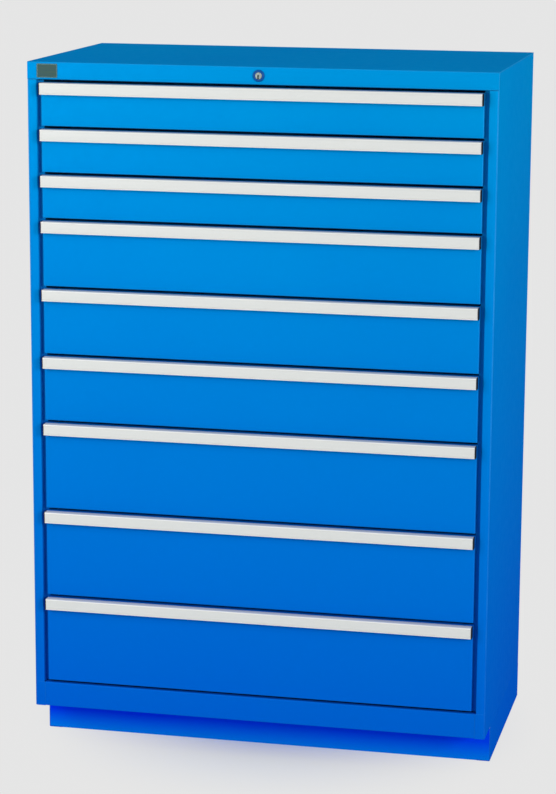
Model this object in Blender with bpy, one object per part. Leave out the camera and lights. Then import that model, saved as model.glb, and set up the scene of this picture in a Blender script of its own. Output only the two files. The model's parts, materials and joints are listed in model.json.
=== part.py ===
# Sheet-steel drawer cabinet with nine drawers, full-width handle strips and one central lock.
# Lengths are in metres. X runs to the right, Y to the back and Z up.
# The origin lies on the floor, under the middle of the whole outline.

import math

import bmesh
import bpy
from mathutils import Matrix, Vector

# Housing of folded sheet steel
HOUSING_WIDTH = 1.023
HOUSING_DEPTH = 0.572
SHEET = 0.0015
FOLD_RADIUS = 0.0015
FASCIA_HEIGHT = 0.038
FASCIA_LIP = 0.012
POST_WIDTH = 0.0245
POST_LIP = 0.018
REAR_FLANGE = 0.020
BOTTOM_RAIL_HEIGHT = 0.056
RAIL_LIP = 0.012
RAIL_FOOT = 0.018
PANEL_FOLD = 0.020

# Base under the housing
BASE_HEIGHT = 0.085
BASE_RECESS = 0.100
BASE_FLANGE = 0.030

# Uprights inside the housing
UPRIGHT_DEPTH = 0.040
UPRIGHT_SETBACK = 0.024
REAR_UPRIGHT_GAP = 0.027
UPRIGHT_TOP_GAP = 0.012

# Gaps between pieces, and how far a cutter runs past what it cuts
CLEARANCE = 0.0003
OVERRUN = 0.004

# Drawer rows, from the top: their heights with the gap above each front
LOW_ROW = 0.100
MIDDLE_ROW = 0.150
TALL_ROW = 0.200
LOW_COUNT = 3
MIDDLE_COUNT = 3
TALL_COUNT = 3
REVEAL = 0.006

# Drawer front and pan
FRONT_SHEET = 0.0015
FRONT_DEPTH = 0.015
FRONT_EDGE_RADIUS = 0.0015
PAN_SHEET = 0.0012
PAN_FRONT_GAP = 0.0015
PAN_REAR_ROOM = 0.093
PAN_FOLD_RADIUS = 0.0012
RIM_DROP = 0.012
PAN_LIFT = 0.006

# Handle strip, an extruded section, and its end caps
HANDLE_REACH = 0.020
HANDLE_HEIGHT = 0.027
HANDLE_WALL = 0.002
HANDLE_FOOT = 0.012
HANDLE_CORNER = 0.0025
FINGER_LIP = 0.003
LABEL_LIP = 0.003
LABEL_DEPTH = 0.0012
END_CAP = 0.003
CAP_PROUD = 0.0003

# Telescopic slides: fixed rails, and carriages that run on rollers
SLIDE_SPACE = 0.0275
ROLLER_DIAMETER = 0.018
ROLLER_WIDTH = 0.0065
ROLLER_SHOULDER = 0.0022
AXLE_DIAMETER = 0.008
CARRIAGE_PLATE = 0.002
CARRIAGE_START = 0.030
CARRIAGE_END_GAP = 0.004
SLIDE_GAP = 0.0012
ROLLER_INSET = 0.012
ROLLER_SPREAD_SHARE = 0.418
RAIL_SHEET = 0.0015
RAIL_START = 0.026
RAIL_REAR_GAP = 0.026

# Central lock: cylinder, plug, cam, link, crank, and a bar with one finger for each drawer
LOCK_BODY_DIAMETER = 0.022
LOCK_FLANGE = 0.003
LOCK_FLANGE_RIM = 0.003
LOCK_NUT = 0.004
LOCK_NUT_WALL = 0.004
LOCK_PLUG_DIAMETER = 0.017
PLUG_PROUD = 0.0005
KEYHOLE_WIDTH = 0.0026
KEYHOLE_HEIGHT = 0.009
KEYHOLE_DEPTH = 0.012
LOCK_ARM = 0.008
LOCK_PIN_DIAMETER = 0.004
PIN_PLAY = 0.0006
CAM_PLATE = 0.0025
CAM_HUB_DIAMETER = 0.014
CAM_END_DIAMETER = 0.009
CRANK_INSET = 0.003
CRANK_HUB_DIAMETER = 0.010
CRANK_END_DIAMETER = 0.0084
PIVOT_DIAMETER = 0.005
LINK_SHEET = 0.002
LINK_HEIGHT = 0.011
LINK_RISE = 0.003
LINK_END = 0.006
BAR_WIDTH = 0.013
BAR_SHEET = 0.002
BAR_HEAD = 0.006
FINGER_HEIGHT = 0.006
FINGER_DROP = 0.0025
GUIDE_HEIGHT = 0.012
GUIDE_FOOT = 0.003
GUIDE_SHEET = 0.002
GUIDE_DROP = 0.014
BRACKET_SHEET = 0.002
BRACKET_FLANGE = 0.015
GUIDE_LIP = 0.004
GUIDE_START_X = 0.040
GUIDE_END_GAP = 0.035
PIVOT_PLATE_WIDTH = 0.020
PIVOT_PLATE_DROP = 0.007

# Catch on each drawer front, which a raised finger holds shut
CATCH_SHEET = 0.002
CATCH_GAP = 0.0015
CATCH_DROP = 0.040
CATCH_ARM = 0.008
CATCH_TOOTH = 0.010
TOOTH_WIDTH = 0.007
TOOTH_GAP = 0.002

# Faces around curves
FOLD_STEPS = 2
ROLLER_SIDES = 10
LOCK_SIDES = 24
PIN_SIDES = 12
LOBE_STEPS = 6
HEXAGON = 6
ROUND_PROFILE_SHARE = 0.5
SMOOTH_ANGLE = math.radians(40)

# Angles of the lock's arms at rest, seen from the front
ARM_REST_ANGLE = math.radians(45)
BAR_PIN_REST_ANGLE = math.radians(-45)

# Finish of each kind of piece: linear colour, roughness, metallic
FINISHES = {
    "enamel": ((0.000, 0.205, 0.694, 1.0), 0.42, 0.0),
    "aluminium": ((0.760, 0.780, 0.780, 1.0), 0.38, 0.6),
    "zinc": ((0.560, 0.570, 0.580, 1.0), 0.35, 0.9),
    "chrome": ((0.640, 0.650, 0.660, 1.0), 0.18, 1.0),
    "dark_steel": ((0.080, 0.090, 0.100, 1.0), 0.40, 0.7),
}

# Rows and the height that they add up to
row_heights = [LOW_ROW] * LOW_COUNT + [MIDDLE_ROW] * MIDDLE_COUNT + [TALL_ROW] * TALL_COUNT
rail_top = BASE_HEIGHT + BOTTOM_RAIL_HEIGHT
first_front_top = rail_top + sum(row_heights)
front_tops = [first_front_top - sum(row_heights[:row]) for row in range(len(row_heights))]

# Planes of the housing
half_sheet = SHEET / 2
half_width = HOUSING_WIDTH / 2
overall_depth = HOUSING_DEPTH + HANDLE_REACH
front_y = HANDLE_REACH - overall_depth / 2
back_y = overall_depth / 2
top_z = first_front_top + REVEAL + FASCIA_HEIGHT
roof_under = top_z - SHEET - CLEARANCE
fascia_bottom = top_z - FASCIA_HEIGHT
wall_inside = half_width - SHEET
inner_half = wall_inside - CLEARANCE
post_inside = half_width - POST_WIDTH
fold_outside = FOLD_RADIUS + half_sheet
floor_mid = BASE_HEIGHT + SHEET + CLEARANCE + half_sheet
floor_top = floor_mid + half_sheet

# Drawer, from the upright's face inwards, and from the housing's front to the back
front_half = post_inside - REVEAL
rail_back = post_inside + half_sheet
pan_outside = rail_back - SLIDE_SPACE
pan_wall_mid = pan_outside - PAN_SHEET / 2
pan_start = FRONT_DEPTH + PAN_FRONT_GAP
pan_inner_start = pan_start + PAN_SHEET
pan_end = HOUSING_DEPTH - PAN_REAR_ROOM
pan_inner_end = pan_end - 2 * PAN_SHEET
carriage_end = pan_end - CARRIAGE_END_GAP
roller_spread = (carriage_end - CARRIAGE_START) * ROLLER_SPREAD_SHARE

# Slides, across the space between the pan and the uprights
roller_radius = ROLLER_DIAMETER / 2
channel_half = roller_radius + CLEARANCE
channel_reach = (SLIDE_SPACE - CARRIAGE_PLATE - 2 * SLIDE_GAP) / 2
runner_edge = pan_outside + channel_reach
plate_inside = runner_edge + SLIDE_GAP
plate_outside = plate_inside + CARRIAGE_PLATE
rail_mouth = rail_back - channel_reach
roller_drop = RIM_DROP + PAN_SHEET + channel_half

# Lock, measured from the front of the housing
lock_z = fascia_bottom + FASCIA_HEIGHT / 2
upright_front = front_y + UPRIGHT_SETBACK
bar_back = upright_front - CLEARANCE
bar_front = bar_back - BAR_SHEET
cam_front = upright_front
cam_back = cam_front + CAM_PLATE
link_front = cam_back + CLEARANCE
link_back = link_front + LINK_SHEET
bracket_front = link_back + CLEARANCE
pin_radius = LOCK_PIN_DIAMETER / 2
arm_offset = LOCK_ARM * math.sin(ARM_REST_ANGLE)
crank_x = post_inside + CRANK_INSET
guide_end_x = crank_x - GUIDE_END_GAP
bar_inner_x = crank_x + CLEARANCE
bar_outer_x = bar_inner_x + BAR_WIDTH
catch_outside = front_half - FRONT_SHEET - CATCH_GAP
catch_inside = catch_outside - CATCH_SHEET
finger_end = catch_inside - CLEARANCE
catch_floor = CATCH_DROP + CATCH_ARM
finger_top_drop = catch_floor + CATCH_TOOTH + FINGER_DROP


def clear_scene():
    """Start from an empty scene."""
    for thing in list(bpy.data.objects):
        bpy.data.objects.remove(thing, do_unlink=True)


def arc_points(centre, radius, first_angle, turn, steps):
    """Points on an arc, both ends included."""
    angles = [first_angle + turn * step / steps for step in range(steps + 1)]
    return [centre + Vector((math.cos(angle), math.sin(angle))) * radius for angle in angles]


def folded_strip(path, thickness, radius):
    """Outline of a folded sheet: its middle line gets round folds and is widened to both sides."""
    points = [Vector(point) for point in path]
    left_side = []
    right_side = []

    def add_station(place, normal):
        left_side.append(place + normal * (thickness / 2))
        right_side.append(place - normal * (thickness / 2))

    def normal_of(run):
        return Vector((-run.y, run.x)).normalized()

    add_station(points[0], normal_of(points[1] - points[0]))
    for before, corner, after in zip(points, points[1:], points[2:]):
        arriving = (corner - before).normalized()
        leaving = (after - corner).normalized()
        turn = math.atan2(arriving.x * leaving.y - arriving.y * leaving.x, arriving.dot(leaving))
        side = math.copysign(1, turn)
        start = corner - arriving * radius * math.tan(abs(turn) / 2)
        centre = start + normal_of(arriving) * radius * side
        for step in range(FOLD_STEPS + 1):
            normal = Matrix.Rotation(turn * step / FOLD_STEPS, 2) @ normal_of(arriving)
            add_station(centre - normal * radius * side, normal)
    add_station(points[-1], normal_of(points[-1] - points[-2]))
    return left_side + right_side[::-1]


def rounded_outline(corners):
    """Closed outline from corners of (u, v, radius), each with a radius turned into an arc."""
    outline = []
    count = len(corners)
    for index, (u, v, radius) in enumerate(corners):
        corner = Vector((u, v))
        if radius == 0:
            outline.append(corner)
            continue
        before = (corner - Vector(corners[index - 1][:2])).normalized()
        after = (Vector(corners[(index + 1) % count][:2]) - corner).normalized()
        turn = math.atan2(before.x * after.y - before.y * after.x, before.dot(after))
        side = math.copysign(1, turn)
        start = corner - before * radius * math.tan(abs(turn) / 2)
        inward = Vector((-before.y, before.x)) * side
        centre = start + inward * radius
        first_angle = math.atan2(-inward.y, -inward.x)
        outline += arc_points(centre, radius, first_angle, turn, FOLD_STEPS)
    return outline


def rectangle(low, high):
    """Outline of a rectangle between two corners."""
    return [Vector(low), Vector((high[0], low[1])), Vector(high), Vector((low[0], high[1]))]


def lobe(centre, hub_radius, reach, angle, end_radius):
    """Outline of a lever: a round hub and a round end, joined by their two tangents."""
    hub = Vector(centre)
    end = hub + Vector((math.cos(angle), math.sin(angle))) * reach
    lean = math.acos((hub_radius - end_radius) / reach)
    hub_arc = arc_points(hub, hub_radius, angle + lean, math.tau - 2 * lean, 2 * LOBE_STEPS)
    end_arc = arc_points(end, end_radius, angle - lean, 2 * lean, LOBE_STEPS)
    return hub_arc + end_arc


def ring_place(axis, across, along):
    """Point in space from a place across an axis and one along it."""
    if axis == "X":
        return Vector((along, across[0], across[1]))
    if axis == "Y":
        return Vector((across[0], along, across[1]))
    return Vector((across[0], across[1], along))


def mesh_from(shape):
    """Mesh data from an open shape, with its faces pointing out."""
    bmesh.ops.recalc_face_normals(shape, faces=shape.faces)
    mesh = bpy.data.meshes.new("shape")
    shape.to_mesh(mesh)
    shape.free()
    return mesh


def extruded(outline, axis, start, end):
    """Solid made by pulling an outline along an axis."""
    shape = bmesh.new()
    first = [shape.verts.new(ring_place(axis, point, start)) for point in outline]
    last = [shape.verts.new(ring_place(axis, point, end)) for point in outline]
    shape.faces.new(first)
    shape.faces.new(last[::-1])
    for index in range(len(outline)):
        shape.faces.new((first[index - 1], first[index], last[index], last[index - 1]))
    return mesh_from(shape)


def box(low, high):
    """Solid box between two corners."""
    return extruded(rectangle(low[:2], high[:2]), "Z", low[2], high[2])


def turned(profile, axis, centre, sides, closed):
    """Solid of revolution: a profile of (along, radius), carried round an axis."""
    shape = bmesh.new()
    middle = Vector(centre)
    rings = []
    for along, radius in profile:
        around = arc_points(middle, radius, 0, math.tau, sides)[:sides]
        rings.append([shape.verts.new(ring_place(axis, point, along)) for point in around])
    pairs = list(zip(rings, rings[1:]))
    if closed:
        pairs.append((rings[-1], rings[0]))
    else:
        shape.faces.new(rings[0])
        shape.faces.new(rings[-1][::-1])
    for ring, following in pairs:
        for index in range(sides):
            shape.faces.new((ring[index - 1], ring[index], following[index], following[index - 1]))
    return mesh_from(shape)


def pin(axis, centre, radius, start, end, sides=PIN_SIDES):
    """Plain round pin along an axis."""
    return turned([(start, radius), (end, radius)], axis, centre, sides, closed=False)


def mirrored(mesh):
    """Copy of a mesh on the other side of the middle plane."""
    shape = bmesh.new()
    shape.from_mesh(mesh)
    bmesh.ops.transform(shape, matrix=Matrix.Scale(-1, 4, (1, 0, 0)), verts=shape.verts)
    return mesh_from(shape)


def gathered(meshes):
    """One mesh that holds several separate bodies."""
    shape = bmesh.new()
    for mesh in meshes:
        shape.from_mesh(mesh)
    return mesh_from(shape)


def combined(mesh, operation, tools):
    """Mesh after a Boolean with each tool in turn."""
    body = bpy.data.objects.new("body", mesh)
    bpy.context.collection.objects.link(body)
    helpers = []
    for tool in tools:
        helper = bpy.data.objects.new("tool", tool)
        bpy.context.collection.objects.link(helper)
        modifier = body.modifiers.new("combine", "BOOLEAN")
        modifier.operation = operation
        modifier.solver = "EXACT"
        modifier.object = helper
        helpers.append(helper)
    evaluated = body.evaluated_get(bpy.context.evaluated_depsgraph_get())
    result = bpy.data.meshes.new_from_object(evaluated)
    for helper in [body] + helpers:
        bpy.data.objects.remove(helper, do_unlink=True)
    return result


def fused(meshes):
    """One solid from overlapping ones."""
    return combined(meshes[0], "UNION", meshes[1:])


def cut(mesh, cutters):
    """Solid with the cutters taken away."""
    return combined(mesh, "DIFFERENCE", cutters)


def finish_material(name, finish):
    """Material of one piece."""
    colour, roughness, metallic = FINISHES[finish]
    material = bpy.data.materials.new(name)
    material.use_nodes = True
    shader = material.node_tree.nodes["Principled BSDF"]
    shader.inputs["Base Color"].default_value = colour
    shader.inputs["Roughness"].default_value = roughness
    shader.inputs["Metallic"].default_value = metallic
    material.diffuse_color = colour
    return material


def place_piece(name, mesh, finish, carrier=None):
    """Put a piece in the scene, on the empty that carries it if it moves."""
    mesh = mesh.copy()
    mesh.name = name
    mesh.materials.clear()
    mesh.materials.append(finish_material(name, finish))
    mesh.shade_smooth()
    mesh.set_sharp_from_angle(angle=SMOOTH_ANGLE)
    piece = bpy.data.objects.new(name, mesh)
    piece.parent = carrier
    bpy.context.collection.objects.link(piece)
    return piece


def carrier_at(name, place):
    """Empty that a moving body hangs from, on its joint's axis."""
    carrier = bpy.data.objects.new(name, None)
    carrier.location = place
    bpy.context.collection.objects.link(carrier)
    return carrier


def rehung(mesh, carrier):
    """Mesh drawn in its place, measured from its carrier instead."""
    mesh.transform(Matrix.Translation(-carrier.location))
    return mesh


def side_panel():
    """Right wall of the housing, folded into the front post and the rear flange."""
    path = [
        (post_inside + half_sheet, front_y + POST_LIP),
        (post_inside + half_sheet, front_y + half_sheet),
        (half_width - half_sheet, front_y + half_sheet),
        (half_width - half_sheet, back_y - half_sheet),
        (half_width - REAR_FLANGE, back_y - half_sheet),
    ]
    wall = extruded(folded_strip(path, SHEET, FOLD_RADIUS), "Z", BASE_HEIGHT, roof_under)
    seat_y = front_y + SHEET + CLEARANCE
    seat_z = fascia_bottom - CLEARANCE
    under_fascia = [
        (front_y - OVERRUN, seat_z),
        (seat_y, seat_z),
        (seat_y, roof_under - fold_outside),
        (seat_y + fold_outside, roof_under),
        (seat_y + fold_outside, top_z + OVERRUN),
        (front_y - OVERRUN, top_z + OVERRUN),
    ]
    lip_room = rectangle((front_y - OVERRUN, seat_z), (front_y + POST_LIP + OVERRUN, top_z))
    return cut(wall, [
        extruded(under_fascia, "X", post_inside - OVERRUN, half_width + OVERRUN),
        extruded(lip_room, "X", post_inside - OVERRUN, wall_inside - OVERRUN),
        box((post_inside - OVERRUN, front_y - OVERRUN, BASE_HEIGHT - OVERRUN),
            (post_inside + fold_outside, front_y + POST_LIP + OVERRUN, rail_top + CLEARANCE)),
    ])


def top_panel():
    """Roof folded down into the fascia, with a hole for the lock."""
    path = [
        (back_y, top_z - half_sheet),
        (front_y + half_sheet, top_z - half_sheet),
        (front_y + half_sheet, fascia_bottom + half_sheet),
        (front_y + FASCIA_LIP, fascia_bottom + half_sheet),
    ]
    roof = extruded(folded_strip(path, SHEET, FOLD_RADIUS), "X", -half_width, half_width)
    seat_y = front_y + SHEET
    lip_end = box((inner_half, seat_y, fascia_bottom - OVERRUN),
                  (half_width + OVERRUN, front_y + FASCIA_LIP + OVERRUN, fascia_bottom + OVERRUN))
    hole = pin("Y", (0, lock_z), LOCK_BODY_DIAMETER / 2 + CLEARANCE, front_y - OVERRUN,
               seat_y + OVERRUN, LOCK_SIDES)
    return cut(roof, [lip_end, mirrored(lip_end), hole])


def back_panel():
    """Sheet that closes the back, folded forward under the roof."""
    sheet_y = back_y - SHEET - CLEARANCE - half_sheet
    path = [
        (sheet_y, BASE_HEIGHT),
        (sheet_y, roof_under - half_sheet),
        (sheet_y - PANEL_FOLD, roof_under - half_sheet),
    ]
    return extruded(folded_strip(path, SHEET, FOLD_RADIUS), "X", -inner_half, inner_half)


def bottom_panel():
    """Floor of the housing, folded up against the back panel."""
    rear_y = back_y - 3 * SHEET + half_sheet - 2 * CLEARANCE
    path = [
        (front_y + SHEET + CLEARANCE, floor_mid),
        (rear_y, floor_mid),
        (rear_y, floor_mid + PANEL_FOLD),
    ]
    return extruded(folded_strip(path, SHEET, FOLD_RADIUS), "X", -inner_half, inner_half)


def front_bottom_rail():
    """Rail under the last drawer, flush with the posts."""
    path = [
        (front_y + RAIL_FOOT, BASE_HEIGHT + half_sheet),
        (front_y + half_sheet, BASE_HEIGHT + half_sheet),
        (front_y + half_sheet, rail_top - half_sheet),
        (front_y + RAIL_LIP, rail_top - half_sheet),
    ]
    reach = post_inside + fold_outside - CLEARANCE
    return extruded(folded_strip(path, SHEET, FOLD_RADIUS), "X", -reach, reach)


def upright(start_y):
    """Right upright, a channel open towards the wall."""
    end_y = start_y + UPRIGHT_DEPTH
    path = [
        (inner_half, start_y + half_sheet),
        (post_inside + half_sheet, start_y + half_sheet),
        (post_inside + half_sheet, end_y - half_sheet),
        (inner_half, end_y - half_sheet),
    ]
    low = floor_top + CLEARANCE
    high = fascia_bottom - UPRIGHT_TOP_GAP
    return extruded(folded_strip(path, SHEET, FOLD_RADIUS), "Z", low, high)


def fixed_rail(front_top):
    """Fixed rail of one drawer: a channel open towards the drawer."""
    middle = front_top - roller_drop
    mid = RAIL_SHEET / 2
    path = [
        (rail_mouth, middle + channel_half + mid),
        (rail_back - mid, middle + channel_half + mid),
        (rail_back - mid, middle - channel_half - mid),
        (rail_mouth, middle - channel_half - mid),
    ]
    strip = folded_strip(path, RAIL_SHEET, RAIL_SHEET)
    return extruded(strip, "Y", front_y + RAIL_START, back_y - RAIL_REAR_GAP)


def bar_guides():
    """Straps on the front upright that hold the lock bar, one in each group of rows."""
    strap_front = bar_front - CLEARANCE - GUIDE_SHEET
    strap_back = bar_front - CLEARANCE
    foot_end = upright_front + half_sheet
    inner = bar_inner_x - CLEARANCE
    outer = bar_outer_x + CLEARANCE
    outline = [
        (inner - GUIDE_FOOT, foot_end),
        (inner, foot_end),
        (inner, strap_back),
        (outer, strap_back),
        (outer, foot_end),
        (outer + GUIDE_FOOT, foot_end),
        (outer + GUIDE_FOOT, strap_front),
        (inner - GUIDE_FOOT, strap_front),
    ]
    straps = []
    for row in (1, LOW_COUNT + 1, LOW_COUNT + MIDDLE_COUNT + 1):
        high = front_tops[row] - GUIDE_DROP
        straps.append(extruded(outline, "Z", high - GUIDE_HEIGHT, high))
    return straps


def slide_frame():
    """Right slide frame: the two uprights with a fixed rail welded on for each drawer."""
    rear_upright = back_y - REAR_UPRIGHT_GAP - UPRIGHT_DEPTH
    rails = [fixed_rail(front_top) for front_top in front_tops]
    return fused([upright(upright_front), upright(rear_upright)] + rails)


def base_side():
    """Right side of the base: a channel that carries the housing's wall."""
    path = [
        (half_width - BASE_FLANGE, half_sheet),
        (half_width - half_sheet, half_sheet),
        (half_width - half_sheet, BASE_HEIGHT - CLEARANCE - half_sheet),
        (half_width - BASE_FLANGE, BASE_HEIGHT - CLEARANCE - half_sheet),
    ]
    return extruded(folded_strip(path, SHEET, FOLD_RADIUS), "Y", front_y + BASE_RECESS, back_y)


def base_cross(face_y, inward):
    """Channel across the base, nested between the flanges of its two sides."""
    low = SHEET + CLEARANCE + half_sheet
    high = BASE_HEIGHT - CLEARANCE - low
    mid_y = face_y + inward * half_sheet
    end_y = face_y + inward * BASE_FLANGE
    path = [(end_y, low), (mid_y, low), (mid_y, high), (end_y, high)]
    return extruded(folded_strip(path, SHEET, FOLD_RADIUS), "X", -inner_half, inner_half)


def build_housing():
    """Everything that stands still around the drawers."""
    wall = side_panel()
    place_piece("right_side_panel", wall, "enamel")
    place_piece("left_side_panel", mirrored(wall), "enamel")
    place_piece("top_panel", top_panel(), "enamel")
    place_piece("back_panel", back_panel(), "enamel")
    place_piece("bottom_panel", bottom_panel(), "enamel")
    place_piece("front_bottom_rail", front_bottom_rail(), "enamel")
    frame = slide_frame()
    place_piece("slide_frame_right", fused([frame] + bar_guides()), "zinc")
    place_piece("slide_frame_left", mirrored(frame), "zinc")
    side = base_side()
    place_piece("base_side_right", side, "enamel")
    place_piece("base_side_left", mirrored(side), "enamel")
    place_piece("base_front_cover", base_cross(front_y + BASE_RECESS, 1), "enamel")
    place_piece("base_rear_rail", base_cross(back_y, -1), "enamel")


def drawer_front(height):
    """Folded front: a face with four returns, open at the back, its outer edges rounded."""
    shape = bmesh.new()
    inset = FRONT_SHEET
    outer = rectangle((-front_half, -height), (front_half, 0))
    inner = rectangle((inset - front_half, inset - height), (front_half - inset, -inset))
    rings = []
    for outline, depth in ((outer, 0), (outer, FRONT_DEPTH), (inner, FRONT_DEPTH), (inner, inset)):
        rings.append([shape.verts.new(ring_place("Y", point, depth)) for point in outline])
    face = shape.faces.new(rings[0])
    shape.faces.new(rings[-1][::-1])
    for ring, following in zip(rings, rings[1:]):
        for index in range(len(ring)):
            shape.faces.new((ring[index - 1], ring[index], following[index], following[index - 1]))
    bmesh.ops.recalc_face_normals(shape, faces=shape.faces)
    bmesh.ops.bevel(shape, geom=list(face.edges), offset=FRONT_EDGE_RADIUS, offset_type="OFFSET",
                    segments=FOLD_STEPS, profile=ROUND_PROFILE_SHARE, affect="EDGES",
                    clamp_overlap=True)
    return mesh_from(shape)


def drawer_catch():
    """Hook behind the front, which a finger of the lock bar stands in front of."""
    arm_start = FRONT_SHEET / 2
    tooth_front = UPRIGHT_SETBACK - CLEARANCE + TOOTH_GAP
    tooth_back = tooth_front + TOOTH_WIDTH
    outline = [
        (arm_start, -CATCH_DROP),
        (tooth_back, -CATCH_DROP),
        (tooth_back, -catch_floor - CATCH_TOOTH),
        (tooth_front, -catch_floor - CATCH_TOOTH),
        (tooth_front, -catch_floor),
        (arm_start, -catch_floor),
    ]
    return extruded(outline, "X", catch_inside, catch_outside)


def drawer_tray(height):
    """Welded drawer: front, folded pan, runner flanges, inner walls and catch."""
    mid = PAN_SHEET / 2
    rim = -RIM_DROP - mid
    floor = PAN_LIFT - height + mid
    section = [
        (-runner_edge, rim),
        (-pan_wall_mid, rim),
        (-pan_wall_mid, floor),
        (pan_wall_mid, floor),
        (pan_wall_mid, rim),
        (runner_edge, rim),
    ]
    pan = extruded(folded_strip(section, PAN_SHEET, PAN_FOLD_RADIUS), "Y", FRONT_SHEET / 2, pan_end)
    flange_top = -RIM_DROP - PAN_SHEET - 2 * channel_half
    flange = box((pan_wall_mid, FRONT_SHEET / 2 + mid, flange_top - PAN_SHEET),
                 (runner_edge, pan_end - mid, flange_top))
    front_wall = box((-pan_wall_mid, pan_start, floor), (pan_wall_mid, pan_inner_start, rim))
    rear_wall = box((-pan_wall_mid, pan_inner_end, floor),
                    (pan_wall_mid, pan_inner_end + PAN_SHEET, rim))
    return fused([pan, flange, mirrored(flange), front_wall, rear_wall,
                  drawer_front(height), drawer_catch()])


def handle_section():
    """Section of the handle: foot, top web, front wall with a label channel, and a finger lip."""
    rear = -CLEARANCE - CAP_PROUD
    front = CAP_PROUD - HANDLE_REACH
    label = front + LABEL_DEPTH
    wall = label + HANDLE_WALL
    lip = wall + FINGER_LIP
    under = HANDLE_WALL - HANDLE_HEIGHT
    inner_corner = HANDLE_WALL / 2
    return rounded_outline([
        (rear, 0, 0),
        (front, 0, HANDLE_CORNER),
        (front, -LABEL_LIP, 0),
        (label, -LABEL_LIP, 0),
        (label, LABEL_LIP - HANDLE_HEIGHT, 0),
        (front, LABEL_LIP - HANDLE_HEIGHT, 0),
        (front, -HANDLE_HEIGHT, HANDLE_CORNER),
        (lip, -HANDLE_HEIGHT, 0),
        (lip, under, 0),
        (wall, under, inner_corner),
        (wall, -HANDLE_WALL, inner_corner),
        (rear - HANDLE_WALL, -HANDLE_WALL, 0),
        (rear - HANDLE_WALL, -HANDLE_FOOT, 0),
        (rear, -HANDLE_FOOT, 0),
    ])


def handle_strip():
    """Handle with a cap on each end. The caps stand slightly proud of the section all round."""
    reach = front_half - END_CAP / 2
    section = [Vector((point[0], point[1] - CAP_PROUD)) for point in handle_section()]
    strip = extruded(section, "X", -reach, reach)
    outline = rounded_outline([
        (-CLEARANCE, 0, 0),
        (-HANDLE_REACH, 0, HANDLE_CORNER),
        (-HANDLE_REACH, -HANDLE_HEIGHT - 2 * CAP_PROUD, HANDLE_CORNER),
        (-CLEARANCE, -HANDLE_HEIGHT - 2 * CAP_PROUD, 0),
    ])
    cap = extruded(outline, "X", front_half - END_CAP, front_half)
    return fused([strip, cap, mirrored(cap)])


def roller(place_y, outward):
    """Roller on its axle stub, on the outer or the inner side of the carriage plate."""
    face = plate_outside if outward > 0 else plate_inside
    root = face - outward * CARRIAGE_PLATE / 3
    shoulder = face + outward * ROLLER_SHOULDER
    end = shoulder + outward * ROLLER_WIDTH
    profile = [
        (root, AXLE_DIAMETER / 2),
        (shoulder, AXLE_DIAMETER / 2),
        (shoulder, roller_radius),
        (end, roller_radius),
    ]
    return turned(profile, "X", (place_y, -roller_drop), ROLLER_SIDES, closed=False)


def slide_carriage():
    """Right carriage: a plate with two rollers for the drawer and two for the fixed rail."""
    half_plate = channel_half + RAIL_SHEET
    plate = box((plate_inside, CARRIAGE_START, -roller_drop - half_plate),
                (plate_outside, carriage_end, -roller_drop + half_plate))
    front_roller = CARRIAGE_START + ROLLER_INSET
    rear_roller = carriage_end - ROLLER_INSET
    return fused([
        plate,
        roller(front_roller, -1),
        roller(front_roller + roller_spread, -1),
        roller(rear_roller - roller_spread, 1),
        roller(rear_roller, 1),
    ])


def build_drawers():
    """Nine drawers, each on its own pair of carriages."""
    trays = {height: drawer_tray(height - REVEAL) for height in set(row_heights)}
    handle = handle_strip()
    carriage = slide_carriage()
    for number, (height, front_top) in enumerate(zip(row_heights, front_tops), start=1):
        name = "drawer_" + str(number)
        carrier = carrier_at(name, (0, front_y, front_top))
        carriage_carrier = carrier_at(name + "_slide", (0, front_y, front_top))
        place_piece(name + "_tray", trays[height], "enamel", carrier)
        place_piece(name + "_handle", handle, "aluminium", carrier)
        place_piece(name + "_carriage_right", carriage, "zinc", carriage_carrier)
        place_piece(name + "_carriage_left", mirrored(carriage), "zinc", carriage_carrier)


def lock_cylinder():
    """Fixed barrel with a flange in front of the fascia."""
    body = LOCK_BODY_DIAMETER / 2
    flange = body + LOCK_FLANGE_RIM
    bore = LOCK_PLUG_DIAMETER / 2 + CLEARANCE
    rear_edge = flange - LOCK_FLANGE / 2
    face = front_y - CLEARANCE
    profile = [
        (face - LOCK_FLANGE, bore),
        (face - LOCK_FLANGE, rear_edge),
        (face - LOCK_FLANGE / 2, flange),
        (face, flange),
        (face, body),
        (bar_front, body),
        (bar_front, bore),
    ]
    return turned(profile, "Y", (0, lock_z), LOCK_SIDES, closed=True)


def lock_nut():
    """Hexagon nut that clamps the barrel behind the fascia."""
    start = front_y + SHEET + CLEARANCE
    body = LOCK_BODY_DIAMETER / 2
    centre = Vector((0, lock_z))
    corners = arc_points(centre, body + LOCK_NUT_WALL, 0, math.tau, HEXAGON)[:HEXAGON]
    block = extruded(corners, "Y", start, start + LOCK_NUT)
    bore = pin("Y", centre, body + CLEARANCE, start - OVERRUN, start + LOCK_NUT + OVERRUN,
               LOCK_SIDES)
    return cut(block, [bore])


def lock_plug():
    """Plug that the key turns, with its keyhole. It is drawn round its own axis."""
    face = front_y - CLEARANCE - LOCK_FLANGE - PLUG_PROUD
    plug = pin("Y", (0, 0), LOCK_PLUG_DIAMETER / 2, face, cam_front - CLEARANCE, LOCK_SIDES)
    keyhole = box((-KEYHOLE_WIDTH / 2, face - OVERRUN, -KEYHOLE_HEIGHT / 2),
                  (KEYHOLE_WIDTH / 2, face + KEYHOLE_DEPTH, KEYHOLE_HEIGHT / 2))
    return cut(plug, [keyhole])


def arm_pin(angle, start, end):
    """Drive pin at the end of a lock arm."""
    centre = (LOCK_ARM * math.cos(angle), LOCK_ARM * math.sin(angle))
    return pin("Y", centre, pin_radius, start, end)


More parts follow.
